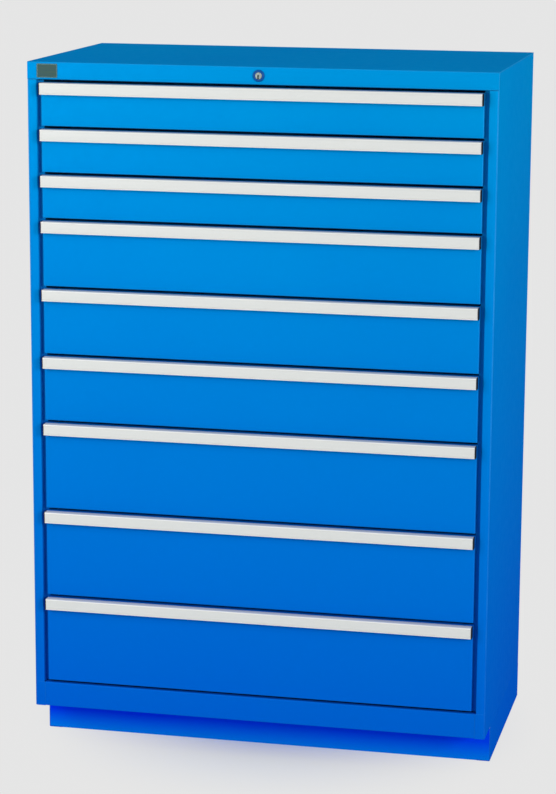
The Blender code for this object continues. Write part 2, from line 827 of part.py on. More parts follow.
def lever_plate(angle, hub_diameter, end_diameter):
    """Flat lever with a round end, drawn round its own axis."""
    outline = lobe((0, 0), hub_diameter / 2, LOCK_ARM, angle, end_diameter / 2)
    return extruded(outline, "Y", cam_front, cam_back)


def lock_cam():
    """Cam on the plug, with the pin that drives the link."""
    plate = lever_plate(ARM_REST_ANGLE, CAM_HUB_DIAMETER, CAM_END_DIAMETER)
    drive = arm_pin(ARM_REST_ANGLE, cam_back - CAM_PLATE / 2, link_back)
    return fused([plate, drive])


def lock_crank():
    """Bell crank: one pin in the link, one in the bar, and a pivot in its bracket."""
    link_arm = lever_plate(ARM_REST_ANGLE, CRANK_HUB_DIAMETER, CRANK_END_DIAMETER)
    bar_arm = lever_plate(BAR_PIN_REST_ANGLE, CRANK_HUB_DIAMETER, CRANK_END_DIAMETER)
    link_pin = arm_pin(ARM_REST_ANGLE, cam_back - CAM_PLATE / 2, link_back)
    bar_pin = arm_pin(BAR_PIN_REST_ANGLE, bar_front, cam_front + CAM_PLATE / 2)
    pivot = pin("Y", (0, 0), PIVOT_DIAMETER / 2, cam_back - CAM_PLATE / 2,
                bracket_front + BRACKET_SHEET)
    return fused([link_arm, bar_arm, link_pin, bar_pin, pivot])


def lock_link():
    """Flat link from the cam to the crank, with an open notch over each pin."""
    low = lock_z + LINK_RISE
    plate = box((arm_offset - LINK_END, link_front, low),
                (crank_x + arm_offset + LINK_END, link_back, low + LINK_HEIGHT))
    half_notch = pin_radius + PIN_PLAY
    notch_top = lock_z + LOCK_ARM + pin_radius + CLEARANCE
    notches = []
    for centre in (arm_offset, crank_x + arm_offset):
        notches.append(box((centre - half_notch, link_front - OVERRUN, low - OVERRUN),
                           (centre + half_notch, link_back + OVERRUN, notch_top)))
    return cut(plate, [gathered(notches)])


def lock_bar():
    """Upright bar with a finger for each drawer and a slot for the crank's pin."""
    slot_z = lock_z - arm_offset
    top = slot_z + BAR_HEAD
    outline = []
    for front_top in front_tops:
        finger_top = front_top - finger_top_drop
        outline.append((bar_inner_x, finger_top))
        outline.append((finger_end, finger_top))
        outline.append((finger_end, finger_top - FINGER_HEIGHT))
        outline.append((bar_inner_x, finger_top - FINGER_HEIGHT))
    bottom = front_tops[-1] - finger_top_drop - 2 * FINGER_HEIGHT
    outline.append((bar_inner_x, bottom))
    outline.append((bar_outer_x, bottom))
    outline.append((bar_outer_x, top))
    outline.append((bar_inner_x, top))
    bar = extruded(outline, "Y", bar_front, bar_back)
    half_slot = pin_radius + PIN_PLAY
    slot = box((crank_x + arm_offset - half_slot, bar_front - OVERRUN, slot_z - half_slot),
               (crank_x + LOCK_ARM + half_slot, bar_back + OVERRUN, slot_z + half_slot))
    return cut(bar, [slot])


def lock_link_guide():
    """Channel under the roof that carries the link, with the plate for the crank's pivot."""
    mid = BRACKET_SHEET / 2
    plate_y = bracket_front + mid
    flange_z = roof_under - mid
    shelf_z = lock_z + LINK_RISE - CLEARANCE - mid
    lip_y = link_front - CLEARANCE - mid
    channel_path = [
        (plate_y + BRACKET_FLANGE, flange_z),
        (plate_y, flange_z),
        (plate_y, shelf_z),
        (lip_y, shelf_z),
        (lip_y, shelf_z + GUIDE_LIP),
    ]
    section = folded_strip(channel_path, BRACKET_SHEET, mid)
    channel = extruded(section, "X", GUIDE_START_X, guide_end_x)
    plate_end = crank_x + PIVOT_PLATE_WIDTH / 2
    bridge = box((guide_end_x - BRACKET_FLANGE, bracket_front, lock_z + LINK_RISE),
                 (plate_end, bracket_front + BRACKET_SHEET, roof_under - BRACKET_SHEET))
    plate = box((plate_end - PIVOT_PLATE_WIDTH, bracket_front, lock_z - PIVOT_PLATE_DROP),
                (plate_end, bracket_front + BRACKET_SHEET, roof_under - BRACKET_SHEET))
    bore = pin("Y", (crank_x, lock_z), PIVOT_DIAMETER / 2 + CLEARANCE, bracket_front - OVERRUN,
               bracket_front + BRACKET_SHEET + OVERRUN)
    return cut(fused([channel, bridge, plate]), [bore])


def build_lock():
    """Lock in the fascia and the linkage behind it that works the bar."""
    place_piece("lock_cylinder", lock_cylinder(), "dark_steel")
    place_piece("lock_nut", lock_nut(), "zinc")
    place_piece("lock_link_guide", lock_link_guide(), "zinc")
    key_axis = carrier_at("key_axis", (0, 0, lock_z))
    place_piece("lock_plug", lock_plug(), "chrome", key_axis)
    place_piece("lock_cam", lock_cam(), "zinc", key_axis)
    crank_axis = carrier_at("crank_axis", (crank_x, 0, lock_z))
    place_piece("lock_crank", lock_crank(), "zinc", crank_axis)
    link_path = carrier_at("link_path", (arm_offset, 0, lock_z + arm_offset))
    place_piece("lock_link", rehung(lock_link(), link_path), "zinc", link_path)
    bar_path = carrier_at("bar_path", (crank_x + arm_offset, 0, lock_z - arm_offset))
    place_piece("lock_bar", rehung(lock_bar(), bar_path), "zinc", bar_path)


def main():
    clear_scene()
    build_housing()
    build_drawers()
    build_lock()


main()
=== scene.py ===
import json
import bmesh
import bpy
import numpy as np
from mathutils import Matrix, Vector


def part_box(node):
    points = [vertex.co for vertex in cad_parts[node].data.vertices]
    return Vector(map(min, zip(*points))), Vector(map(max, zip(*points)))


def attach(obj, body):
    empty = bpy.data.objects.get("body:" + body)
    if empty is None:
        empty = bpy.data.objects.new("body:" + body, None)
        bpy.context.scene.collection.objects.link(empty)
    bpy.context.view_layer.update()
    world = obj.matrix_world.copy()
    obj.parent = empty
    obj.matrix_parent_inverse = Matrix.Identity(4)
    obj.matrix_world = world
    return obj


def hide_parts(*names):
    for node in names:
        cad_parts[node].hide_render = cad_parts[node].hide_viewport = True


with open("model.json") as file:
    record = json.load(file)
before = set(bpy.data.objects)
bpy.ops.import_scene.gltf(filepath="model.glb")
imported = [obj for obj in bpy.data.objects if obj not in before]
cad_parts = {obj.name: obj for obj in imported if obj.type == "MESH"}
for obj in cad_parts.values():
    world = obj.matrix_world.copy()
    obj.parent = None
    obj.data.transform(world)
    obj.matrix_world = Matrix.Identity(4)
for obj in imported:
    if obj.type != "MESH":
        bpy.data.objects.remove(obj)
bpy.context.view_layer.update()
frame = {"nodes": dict(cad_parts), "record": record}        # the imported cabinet, in metres, front towards -Y
cad = frame["nodes"]
print("frame loaded:", len(cad), "nodes")

# A surface here is an array of points, rows by columns by three. Units are metres.
mm = 0.001
smoothAngle = np.radians(35)      # edges that turn by less are shaded smooth
drawers = range(1, 10)            # numbered from the top


def gridFaces(rows, columns, closeRows=False):
    # one quad between each point and its next row and next column; columns go round, and rows too where asked
    row = np.arange(rows if closeRows else rows - 1)
    row, column = np.meshgrid(row, np.arange(columns), indexing="ij")
    nextRow, nextColumn = (row + 1) % rows, (column + 1) % columns
    corners = [row * columns + column, row * columns + nextColumn,
               nextRow * columns + nextColumn, nextRow * columns + column]
    return np.stack(corners, axis=-1).reshape(-1, 4)


def shellMesh(name, grids, closeRows=False):
    # one mesh of closed shells: a grid's rows go round as well, or else its first and last row are capped
    points, faces, start = [], [], 0
    for grid in grids:
        rows, columns = grid.shape[:2]
        points.append(grid.reshape(-1, 3))
        faces += (gridFaces(rows, columns, closeRows) + start).tolist()
        if not closeRows:
            faces.append(list(range(start, start + columns)))
            faces.append(list(range(start + (rows - 1) * columns, start + rows * columns)))
        start += rows * columns
    mesh = bpy.data.meshes.new(name)
    mesh.from_pydata(np.concatenate(points).tolist(), [], faces)
    work = bmesh.new()
    work.from_mesh(mesh)
    bmesh.ops.recalc_face_normals(work, faces=work.faces)
    work.to_mesh(mesh)
    work.free()
    return mesh


def addPiece(mesh, body, slot, replaced=(), finish=None):
    # its material is the slot's own, or the finish where one is named
    piece = bpy.data.objects.new(mesh.name, mesh)
    bpy.context.scene.collection.objects.link(piece)
    mesh.materials.append(finishes[finish or slot])
    mesh.shade_smooth()
    mesh.set_sharp_from_angle(angle=smoothAngle)
    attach(piece, body)
    if replaced:
        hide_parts(*replaced)


def roundedOutline(corners, steps=4):
    # corners are (u, v, radius); each radius becomes an arc that touches both of its sides
    outline = []
    places = np.array([corner[:2] for corner in corners], float)
    for index, (u, v, radius) in enumerate(corners):
        if radius == 0:
            outline.append([[u, v]])
            continue
        corner = places[index]
        before = corner - places[index - 1]
        after = places[(index + 1) % len(corners)] - corner
        before, after = before / np.linalg.norm(before), after / np.linalg.norm(after)
        turn = np.arctan2(before[0] * after[1] - before[1] * after[0], before @ after)
        inward = np.array([-before[1], before[0]]) * np.sign(turn)
        centre = corner - before * radius * np.tan(abs(turn) / 2) + inward * radius
        angle = np.arctan2(-inward[1], -inward[0]) + turn * np.linspace(0, 1, steps + 1)
        outline.append(centre + radius * np.stack([np.cos(angle), np.sin(angle)], axis=-1))
    return np.concatenate(outline)


def alongX(outline, places):
    # a (y, z) outline repeated at each x, or one outline for each x
    grid = np.empty((len(places), outline.shape[-2], 3))
    grid[..., 0] = np.array(places)[:, None]
    grid[..., 1:] = outline
    return grid


def alongY(outlines, places):
    # one (x, z) outline for each y
    grid = np.empty((len(places), len(outlines[0]), 3))
    grid[..., 0::2] = np.stack(outlines)
    grid[..., 1] = np.array(places)[:, None]
    return grid


def alongZ(outline, places, side):
    # an (x, y) outline repeated at each z; side is +1 for the piece at +X and -1 for its mirror image
    grid = np.empty((len(places), len(outline), 3))
    grid[..., :2] = outline * np.array([side, 1])
    grid[..., 2] = np.array(places)[:, None]
    return grid


def softPrism(outline, places, drawIn):
    # a (y, z) outline at each x, drawn in towards its middle by so much there, which rounds the edges
    middle = (outline.max(0) + outline.min(0)) / 2
    reach = (outline.max(0) - outline.min(0)) / 2
    return alongX(middle + (outline - middle) * (1 - drawIn[:, None, None] / reach), places)


def circle(centre, radius, count):
    # points at even angles, each at the radius from the centre
    angle = np.linspace(0, 2 * np.pi, count, endpoint=False)
    return np.array(centre) + radius * np.stack([np.cos(angle), np.sin(angle)], axis=-1)


def turnedAlongX(profile, centre, count):
    # (x, radius) rows turned round a (y, z) centre
    return alongX(np.array(centre) + profile[:, 1, None, None] * circle((0, 0), 1.0, count), profile[:, 0])


def archRing(centre, width, height, count):
    # points of a circle moved along their rays to an upright slot with a round top, so that it joins circles
    # point by point; on the arc the reach r solves |r ray - c| = width / 2, with c the arc's centre
    ray = circle((0, 0), 1.0, count)
    reach = 1 / np.maximum(np.abs(ray[:, 0]) / (width / 2), np.abs(ray[:, 1]) / (height / 2))
    arcCentre = (height - width) / 2
    along = ray[:, 1] * arcCentre
    inside = np.maximum(along ** 2 - arcCentre ** 2 + (width / 2) ** 2, 0)
    reach = np.where(ray[:, 1] * reach > arcCentre, along + np.sqrt(inside), reach)
    return np.array(centre) + ray * reach[:, None]


# Materials. Patterns follow Object coordinates, in metres.
def newMaterial(name, color, roughness, metallic=0.0, **sockets):
    material = bpy.data.materials.new(name)
    material.use_nodes = True
    shader = material.node_tree.nodes["Principled BSDF"]
    shader.inputs["Base Color"].default_value = (*color, 1)
    shader.inputs["Roughness"].default_value = roughness
    shader.inputs["Metallic"].default_value = metallic
    for socket, value in sockets.items():
        shader.inputs[socket].default_value = value
    material.diffuse_color = (*color, 1)
    return material


def addNode(material, kind, inputs=None, **settings):
    # inputs are values or other nodes' output sockets, by the input's name or number
    node = material.node_tree.nodes.new("ShaderNode" + kind)
    for key, value in settings.items():
        setattr(node, key, value)
    for key, value in (inputs or {}).items():
        if isinstance(value, bpy.types.NodeSocket):
            material.node_tree.links.new(value, node.inputs[key])
        else:
            node.inputs[key].default_value = value
    return node


def setInput(material, socket, output):
    shader = material.node_tree.nodes["Principled BSDF"]
    material.node_tree.links.new(output, shader.inputs[socket])


def combine(material, operation, first, second):
    # a Math node's result from two values
    return addNode(material, "Math", {0: first, 1: second}, operation=operation).outputs[0]


def objectPlace(material):
    return addNode(material, "TexCoord").outputs["Object"]


def scaledPlace(material, scale):
    return addNode(material, "Mapping", {"Vector": objectPlace(material), "Scale": scale}).outputs["Vector"]


def noise(material, scale, detail=2.0, stretch=(1, 1, 1)):
    place = scaledPlace(material, stretch)
    return addNode(material, "TexNoise", {"Vector": place, "Scale": scale, "Detail": detail}).outputs["Fac"]


def spread(material, value, low, high, fromLow=0.3, fromHigh=0.7):
    # a value's range laid out from low to high; noise mostly stays between 0.3 and 0.7
    return addNode(material, "MapRange", {"Value": value, "From Min": fromLow, "From Max": fromHigh,
                                          "To Min": low, "To Max": high}).outputs["Result"]


def blendColors(material, share, first, second):
    # inputs 6 and 7 and output 2 of the mix are its colours
    ends = [value if isinstance(value, bpy.types.NodeSocket) else (*value, 1) for value in (first, second)]
    return addNode(material, "Mix", {0: share, 6: ends[0], 7: ends[1]}, data_type="RGBA").outputs[2]


def edgeShare(material, radius, low=0.02, high=0.25):
    # 1 on a sharp edge and 0 on a flat face: how far the rounded normal leans from the true one
    rounded = addNode(material, "Bevel", {"Radius": radius}, samples=4).outputs["Normal"]
    flat = addNode(material, "NewGeometry").outputs["Normal"]
    likeness = addNode(material, "VectorMath", {0: rounded, 1: flat}, operation="DOT_PRODUCT")
    lean = combine(material, "SUBTRACT", 1.0, likeness.outputs["Value"])
    return spread(material, lean, 0, 1, low, high)


def roughSurface(material, height, strength, distance):
    bump = addNode(material, "Bump", {"Height": height, "Strength": strength, "Distance": distance})
    setInput(material, "Normal", bump.outputs["Normal"])


# Enamel of the sheet metal: painted light that makes it paler towards the top and deeper towards the floor,
# soft clouds in it, and paler edges of worn paint and painted highlight
enamel = {
    "blue": (0.000, 0.190, 0.640),
    "low": (0.000, 0.096, 0.600),         # painted light: tone at the floor, deepest, and at the top of the cabinet, palest
    "high": (0.000, 0.270, 0.640),
    "height": 1.5,
    "plinthLow": (0.000, 0.200, 0.760),   # the front cover of the base, deeper towards the housing: painted shadow under the housing's overhang
    "plinthShadow": (0.000, 0.035, 0.880),
    "plinthShadowHeight": 45.0 * mm,
    "cloud": (0.000, 0.140, 0.560),
    "cloudScale": 2.5,
    "cloudShare": 0.16,                   # the most that a cloud takes of the tone
    # paler edges: worn paint, and a painted highlight on the rounded folds
    "wornAndHighlit": (0.060, 0.360, 0.760),
    "wornAndHighlitRadius": 1.4 * mm,
    "wornAndHighlitLean": (0.01, 0.10),             # the normal's lean where the paler edge starts and where it is full
    "patchScale": 30,
    "patchShares": (0.4, 0.8),            # the paler edge's least and most
    "floorEdgeShare": 0.15,               # what is left of the paler edge at the floor
    "metallic": 0.18,
    "sheen": (0.020, 0.350, 0.800),
    "roughness": 0.5,
    "gloss": (0.44, 0.56),                # range of the roughness
    "glossScale": 45,
    "peelScale": 700,                     # fine relief of the sprayed enamel
    "peelDetail": 1.0,
    "relief": (0.12, 0.2 * mm),           # a bump's strength and distance
}


# painted light: the enamel's tone runs from low at the floor to high at the height top, paler towards the top
def enamelMaterial(name, low, high, top):
    material = newMaterial(name, enamel["blue"], enamel["roughness"], enamel["metallic"],
                           **{"Specular IOR Level": 0.0, "Specular Tint": (*enamel["sheen"], 1)})
    height = addNode(material, "SeparateXYZ", {"Vector": objectPlace(material)}).outputs["Z"]
    # share of the painted light's paler tone, growing with the height
    paintedLightRise = spread(material, height, 0, 1, 0, top)
    tone = blendColors(material, paintedLightRise, low, high)
    cloud = spread(material, noise(material, enamel["cloudScale"]), 0, enamel["cloudShare"])
    tone = blendColors(material, cloud, tone, enamel["cloud"])
    # worn paint and painted highlight: paler edges, in patches
    wornAndHighlitEdges = edgeShare(material, enamel["wornAndHighlitRadius"], *enamel["wornAndHighlitLean"])
    patches = spread(material, noise(material, enamel["patchScale"]), *enamel["patchShares"])
    wornAndHighlitEdges = combine(material, "MULTIPLY", wornAndHighlitEdges, patches)
    upper = spread(material, paintedLightRise, enamel["floorEdgeShare"], 1.0, 0, 1)      # the paler edges grow fainter towards the floor
    wornAndHighlitEdges = combine(material, "MULTIPLY", wornAndHighlitEdges, upper)
    setInput(material, "Base Color", blendColors(material, wornAndHighlitEdges, tone, enamel["wornAndHighlit"]))
    setInput(material, "Roughness", spread(material, noise(material, enamel["glossScale"]), *enamel["gloss"]))
    roughSurface(material, noise(material, enamel["peelScale"], enamel["peelDetail"]), *enamel["relief"])
    return material


# Zinc plating: flakes in the tone and the relief, soft clouds in the roughness
zinc = {
    "color": (0.33, 0.35, 0.37),
    "roughness": 0.40,
    "metallic": 0.85,
    "flakeScale": 140.0,
    "flakeRange": (0.1, 0.8),
    "tones": ((0.28, 0.30, 0.33), (0.38, 0.40, 0.42)),
    "rubbed": (0.55, 0.56, 0.57),
    "rubbedRadius": 0.5 * mm,
    "cloudScale": 14,
    "cloudDetail": 3.0,
    "gloss": (0.32, 0.50),
    "relief": (0.05, 0.2 * mm),
}


def zincMaterial():
    material = newMaterial("zincSteel", zinc["color"], zinc["roughness"], zinc["metallic"])
    place = scaledPlace(material, (1, 1, 1))
    cells = addNode(material, "TexVoronoi", {"Vector": place, "Scale": zinc["flakeScale"]})
    flakes = cells.outputs["Distance"]
    cloud = noise(material, zinc["cloudScale"], zinc["cloudDetail"])
    tone = blendColors(material, spread(material, flakes, 0, 1, *zinc["flakeRange"]), *zinc["tones"])
    edges = edgeShare(material, zinc["rubbedRadius"])
    setInput(material, "Base Color", blendColors(material, edges, tone, zinc["rubbed"]))
    setInput(material, "Roughness", spread(material, cloud, *zinc["gloss"]))
    roughSurface(material, flakes, *zinc["relief"])
    return material


# Grained finishes. The grain is a noise's scale, detail and stretch. It blends the two tones, moves the
# roughness through the gloss range, and gives the relief. Edges take the paler edge colour within its radius:
# worn edges, and a painted highlight on the blank plate.
# The plain color and roughness are the viewport's, and hold where nothing is laid over them.
def grainedMaterial(name, color, roughness, grain, metallic=0.0, tones=None, rubbed=None, rubbedRadius=0.0,
                    gloss=None, relief=None, **sockets):
    material = newMaterial(name, color, roughness, metallic, **sockets)
    pattern = noise(material, *grain)
    tone = blendColors(material, spread(material, pattern, 0, 1), *tones) if tones else color
    # paler edges: wear on most finishes, a painted highlight on the blank plate
    if rubbed:
        tone = blendColors(material, edgeShare(material, rubbedRadius), tone, rubbed)
    if tones or rubbed:
        setInput(material, "Base Color", tone)
    if gloss:
        setInput(material, "Roughness", spread(material, pattern, *gloss))
    if relief:
        roughSurface(material, pattern, *relief)
    return material


handleAluminium = {
    "color": (0.76, 0.77, 0.765),
    "roughness": 0.42,
    "metallic": 0.12,
    "grain": (500, 3.0, (0.02, 1, 1)),    # streaks along the extrusion
    "tones": ((0.72, 0.725, 0.70), (0.80, 0.80, 0.78)),
    "gloss": (0.36, 0.50),
    "relief": (0.15, 0.1 * mm),
}
labelCard = {
    "color": (0.68, 0.69, 0.685),
    "roughness": 0.5,
    "grain": (900, 4.0),
    "tones": ((0.60, 0.615, 0.61), (0.65, 0.655, 0.65)),
    "relief": (0.1, 0.1 * mm),
    "Coat Weight": 0.25,
    "Coat Roughness": 0.3,
}
endCapPlastic = {
    "color": (0.004, 0.006, 0.010),
    "roughness": 0.55,
    "grain": (1800, 2.0),
    "rubbed": (0.020, 0.024, 0.030),
    "rubbedRadius": 0.5 * mm,
    "gloss": (0.50, 0.65),
    "relief": (0.2, 0.1 * mm),
    "Specular IOR Level": 0.25,
}
darkSteel = {
    "color": (0.07, 0.075, 0.085),
    "roughness": 0.35,
    "metallic": 0.7,
    "grain": (1200, 3.0),
    "tones": ((0.055, 0.060, 0.070), (0.085, 0.090, 0.100)),
    "rubbed": (0.30, 0.31, 0.33),
    "rubbedRadius": 0.4 * mm,
    "gloss": (0.28, 0.42),
}
darkLock = {
    "color": (0.000, 0.070, 0.290),
    "roughness": 0.40,
    "grain": (300,),
    "rubbed": (0.03, 0.18, 0.45),
    "rubbedRadius": 0.6 * mm,
    "gloss": (0.34, 0.48),
    "Specular IOR Level": 0.15,
}
lockChrome = {
    "color": (0.42, 0.46, 0.46),
    "roughness": 0.28,
    "metallic": 1.0,
    "grain": (900, 4.0, (1, 1, 0.15)),    # scratches that stand upright
    "tones": ((0.31, 0.39, 0.38), (0.43, 0.49, 0.47)),
    "gloss": (0.20, 0.34),
}
blankPlate = {
    "color": (0.045, 0.105, 0.100),
    "roughness": 0.42,
    "metallic": 0.15,
    "grain": (700, 3.0, (0.04, 1, 1)),    # brushed from side to side
    "tones": ((0.013, 0.060, 0.074), (0.040, 0.082, 0.058)),
    # painted highlight: the pale rim along the plate's edges
    "rubbed": (0.24, 0.44, 0.46),
    "rubbedRadius": 1.2 * mm,
    "gloss": (0.30, 0.46),
    "Specular IOR Level": 0.2,
}

finishes = {
    "blue_enamel": enamelMaterial("blueEnamel", enamel["low"], enamel["high"], enamel["height"]),
    # painted shadow: the base's front cover darkens towards the housing
    "plinth_shaded_enamel": enamelMaterial("plinthShadedEnamel", enamel["plinthLow"], enamel["plinthShadow"],
                                    enamel["plinthShadowHeight"]),
    "handle_aluminium": grainedMaterial("handleAluminium", **handleAluminium),
    "label_card": grainedMaterial("labelCard", **labelCard),
    "end_cap_plastic": grainedMaterial("endCapPlastic", **endCapPlastic),
    "zinc_steel": zincMaterial(),
    "dark_steel": grainedMaterial("darkSteel", **darkSteel),
    "dark_lock": grainedMaterial("darkLock", **darkLock),
    "chrome": grainedMaterial("lockChrome", **lockChrome),
    "blank_plate": grainedMaterial("blankPlate", **blankPlate),
}
print("materials ready:", len(finishes))

# Nodes that show through the gaps beside the drawers are darker here than their slots say: painted shade for
# the gaps, with the lock bar in dark steel and the slide frames in the housing's blue enamel
darkerFinishes = {
    "lock_bar": "dark_steel",
    "slide_frame_left": "blue_enamel",
    "slide_frame_right": "blue_enamel",
}
for part in frame["record"]["subparts"]:
    node = cad[part["node"]]
    node.data.materials.clear()
    node.data.materials.append(finishes[darkerFinishes.get(part["node"], part["material_slot"])])
print("finishes laid on the frame's nodes")


# Handle strips: extruded section, label strip in its channel, cap on each end
handle = {
    "wall": 2.0 * mm,
    "foot": 12.0 * mm,
    "corner": 2.5 * mm,
    "lip": 3.0 * mm,
    "channel": 1.2 * mm,
    "rearEdge": 0.4 * mm,         # roundings of the section
    "lipEdge": 0.35 * mm,
    "channelEdge": 0.2 * mm,
    "gripEdge": 0.8 * mm,
    "insideEdge": 0.6 * mm,
    "insideCorner": 1.0 * mm,
    "footEdge": 0.5 * mm,
    "short": 2.0 * mm,            # how much less high the strip is than the frame's handle, at its lower edge
    "cap": 1.6 * mm,
    "capEdge": 0.5 * mm,
    "capPlay": 0.1 * mm,
    "capShares": (1.0, 0.2, 0.06, 0.0),       # of its width, from the strip's end to its outer face
    "capDrawIn": (0.0, 0.0, 0.25, 0.7),       # mm by which it is drawn in there
    "proud": 0.3 * mm,            # how far the caps stand out from the section
    "cardThickness": 0.7 * mm,
    "cardEdge": 0.2 * mm,
    "cardPlay": 0.25 * mm,
    "cardGap": 0.1 * mm,          # behind the card
}


def handleSection(low, high):
    # (y, z) outline from the foot over the top web and down the front wall, as in the frame's handle
    wall, lip = handle["wall"], handle["lip"]
    rear, front = high.y - handle["proud"], low.y + handle["proud"]
    top, bottom = high.z - handle["proud"], low.z + handle["proud"]
    label = front + handle["channel"]
    inside = label + wall
    return roundedOutline([
        (rear, top, handle["rearEdge"]),
        (front, top, handle["corner"]),
        (front, top - lip, handle["lipEdge"]),
        (label, top - lip, handle["channelEdge"]),
        (label, bottom + lip, handle["channelEdge"]),
        (front, bottom + lip, handle["lipEdge"]),
        (front, bottom, handle["corner"]),
        (inside + lip, bottom, handle["gripEdge"]),
        (inside + lip, bottom + wall, handle["insideEdge"]),
        (inside, bottom + wall, handle["insideCorner"]),
        (inside, top - wall, handle["insideCorner"]),
        (rear - wall, top - wall, handle["insideEdge"]),
        (rear - wall, top - handle["foot"], handle["footEdge"]),
        (rear, top - handle["foot"], handle["footEdge"]),
    ])


def capGrid(low, high, side):
    # the box's (y, z) rectangle with rounded corners, drawn in towards the cap's outer face
    outline = roundedOutline([
        (high.y, high.z, handle["capEdge"]), (low.y, high.z, handle["corner"]),
        (low.y, low.z, handle["corner"]), (high.y, low.z, handle["capEdge"]),
    ], 6)
    outer = high.x if side > 0 else low.x
    places = outer - side * handle["cap"] * np.array(handle["capShares"])
    return softPrism(outline, places, np.array(handle["capDrawIn"]) * mm)


def cardOutline(low, high):
    # (y, z) rectangle in the channel, between the lips, with its front edges rounded
    front = low.y + handle["proud"] + handle["channel"] - handle["cardThickness"] - handle["cardGap"]
    rear = front + handle["cardThickness"]
    inset = handle["proud"] + handle["lip"] + handle["cardPlay"]
    return roundedOutline([
        (front, low.z + inset, handle["cardEdge"]), (front, high.z - inset, handle["cardEdge"]),
        (rear, high.z - inset, 0), (rear, low.z + inset, 0),
    ])


for number in drawers:
    body = "drawer_%d" % number
    low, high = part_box(body + "_handle")
    low.z += handle["short"]
    end = high.x - handle["cap"] - handle["capPlay"]
    cardEnd = end - handle["cardPlay"]
    strip = shellMesh("handleStrip%d" % number, [alongX(handleSection(low, high), [-end, end])])
    addPiece(strip, body, "handle_aluminium", [body + "_handle"])
    caps = shellMesh("handleCaps%d" % number, [capGrid(low, high, side) for side in (-1, 1)])
    addPiece(caps, body, "end_cap_plastic")
    label = shellMesh("labelStrip%d" % number, [alongX(cardOutline(low, high), [-cardEnd, cardEnd])])
    addPiece(label, body, "label_card")
print("handle strips, caps and label strips")


# Carriages: a plate with two rollers for the drawer on its inner face and two for the rail on its outer face
carriage = {
    "plate": 2.0 * mm,
    "corner": 4.0 * mm,
    "edge": 0.3 * mm,
    "rollerRadius": 9.0 * mm,
    "rollerWidth": 6.5 * mm,
    "rim": ((1.0, 0.0), (0.3, -0.3), (0.0, -1.0)),     # mm behind the outer face, mm beyond the radius
    "axleRadius": 4.0 * mm,
    "axleLength": 3.0 * mm,       # behind the roller
    "headRadius": 3.0 * mm,
    "head": ((0.0, 1.4), (0.6, 1.0), (0.6, 0.0), (0.3, -0.2), (0.1, -1.0)),    # the same for the head
    "inset": 12.0 * mm,           # from the plate's end to the roller's axis
    "spread": 0.418,              # share of the plate's length between the two rollers of a face
    "sides": 40,
}


def carriagePlateGrid(low, high):
    # the box's (y, z) rectangle with rounded corners and chamfered edges
    corner, half, edge = carriage["corner"], carriage["plate"] / 2, carriage["edge"]
    outline = roundedOutline([
        (low.y, low.z, corner), (high.y, low.z, corner), (high.y, high.z, corner), (low.y, high.z, corner),
    ], 6)
    places = (low.x + high.x) / 2 + np.array([-half, edge - half, half - edge, half])
    return softPrism(outline, places, np.array([edge, 0.0, 0.0, edge]))


def rollerGrid(low, high, placeY, side):
    # axle, roller and axle's head turned round the axis; side is +1 on the face towards +X, and the outer
    # end reaches the frame's box
    width, axle = carriage["rollerWidth"], carriage["axleRadius"]
    rim = np.array(carriage["rim"]) * mm + (0, carriage["rollerRadius"])
    profile = np.concatenate([
        [(width + carriage["axleLength"], axle), (width, axle)],
        rim[::-1] * (-1, 1) + (width, 0),
        rim,
        np.array(carriage["head"]) * mm + (0, carriage["headRadius"]),
    ])
    profile[:, 0] = (high.x if side > 0 else low.x) - side * profile[:, 0]
    return turnedAlongX(profile, (placeY, (low.z + high.z) / 2), carriage["sides"])


for number in drawers:
    nodes = ["drawer_%d_carriage_left" % number, "drawer_%d_carriage_right" % number]
    plates, rollers = [], []
    for node, outward in zip(nodes, (-1, 1)):
        low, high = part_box(node)
        front, rear = low.y + carriage["inset"], high.y - carriage["inset"]
        between = carriage["spread"] * (high.y - low.y)
        plates.append(carriagePlateGrid(low, high))
        rollers += [rollerGrid(low, high, placeY, side)
                    for placeY, side in ((front, -outward), (front + between, -outward),
                                         (rear - between, outward), (rear, outward))]
    body = "carriage_%d" % number
    addPiece(shellMesh("carriagePlates%d" % number, plates), body, "zinc_steel", nodes)
    addPiece(shellMesh("carriageRollers%d" % number, rollers), body, "zinc_steel", finish="dark_steel")
print("carriages")


# Lock: flanged barrel in the fascia, and the plug that the key turns
lock = {
    "sides": 64,
    "mouth": ((0.0, 0.8), (0.5, 0.1), (1.2, 0.0)),     # mm beyond the bore's radius, mm behind the front
    "dome": ((-2.2, 0.1), (-0.9, 0.7), (-0.2, 1.6), (0.0, 2.4), (0.0, 3.0)),   # the same for the flange
    "neckRadius": 11.0 * mm,
    "flangeInset": 1.3 * mm,
    "plugRadius": 7.4 * mm,
    "plugPlay": 0.3 * mm,
    "chamfer": 0.5 * mm,
    "keyWidth": 3.8 * mm,
    "keyHeight": 8.8 * mm,
    "keyDrop": 1.9 * mm,
    "keyDepth": 11.0 * mm,
    "keyChamfer": 0.6 * mm,       # the keyhole's mouth is wider and higher by this, and this deep
}
lockLow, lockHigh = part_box("lock_cylinder")
lockCentre = ((lockLow.x + lockHigh.x) / 2, (lockLow.z + lockHigh.z) / 2)
flangeRadius = (lockHigh.x - lockLow.x) / 2 - lock["flangeInset"]
bore = lock["plugRadius"] + lock["plugPlay"]
dome = np.array(lock["dome"]) * mm + (flangeRadius, lockLow.y)
barrelProfile = np.concatenate([
    np.array(lock["mouth"]) * mm + (bore, lockLow.y),
    dome,
    [(lock["neckRadius"], dome[-1, 1]), (lock["neckRadius"], lockHigh.y), (bore, lockHigh.y)],
])
barrel = alongY([circle(lockCentre, radius, lock["sides"]) for radius in barrelProfile[:, 0]],
                barrelProfile[:, 1])
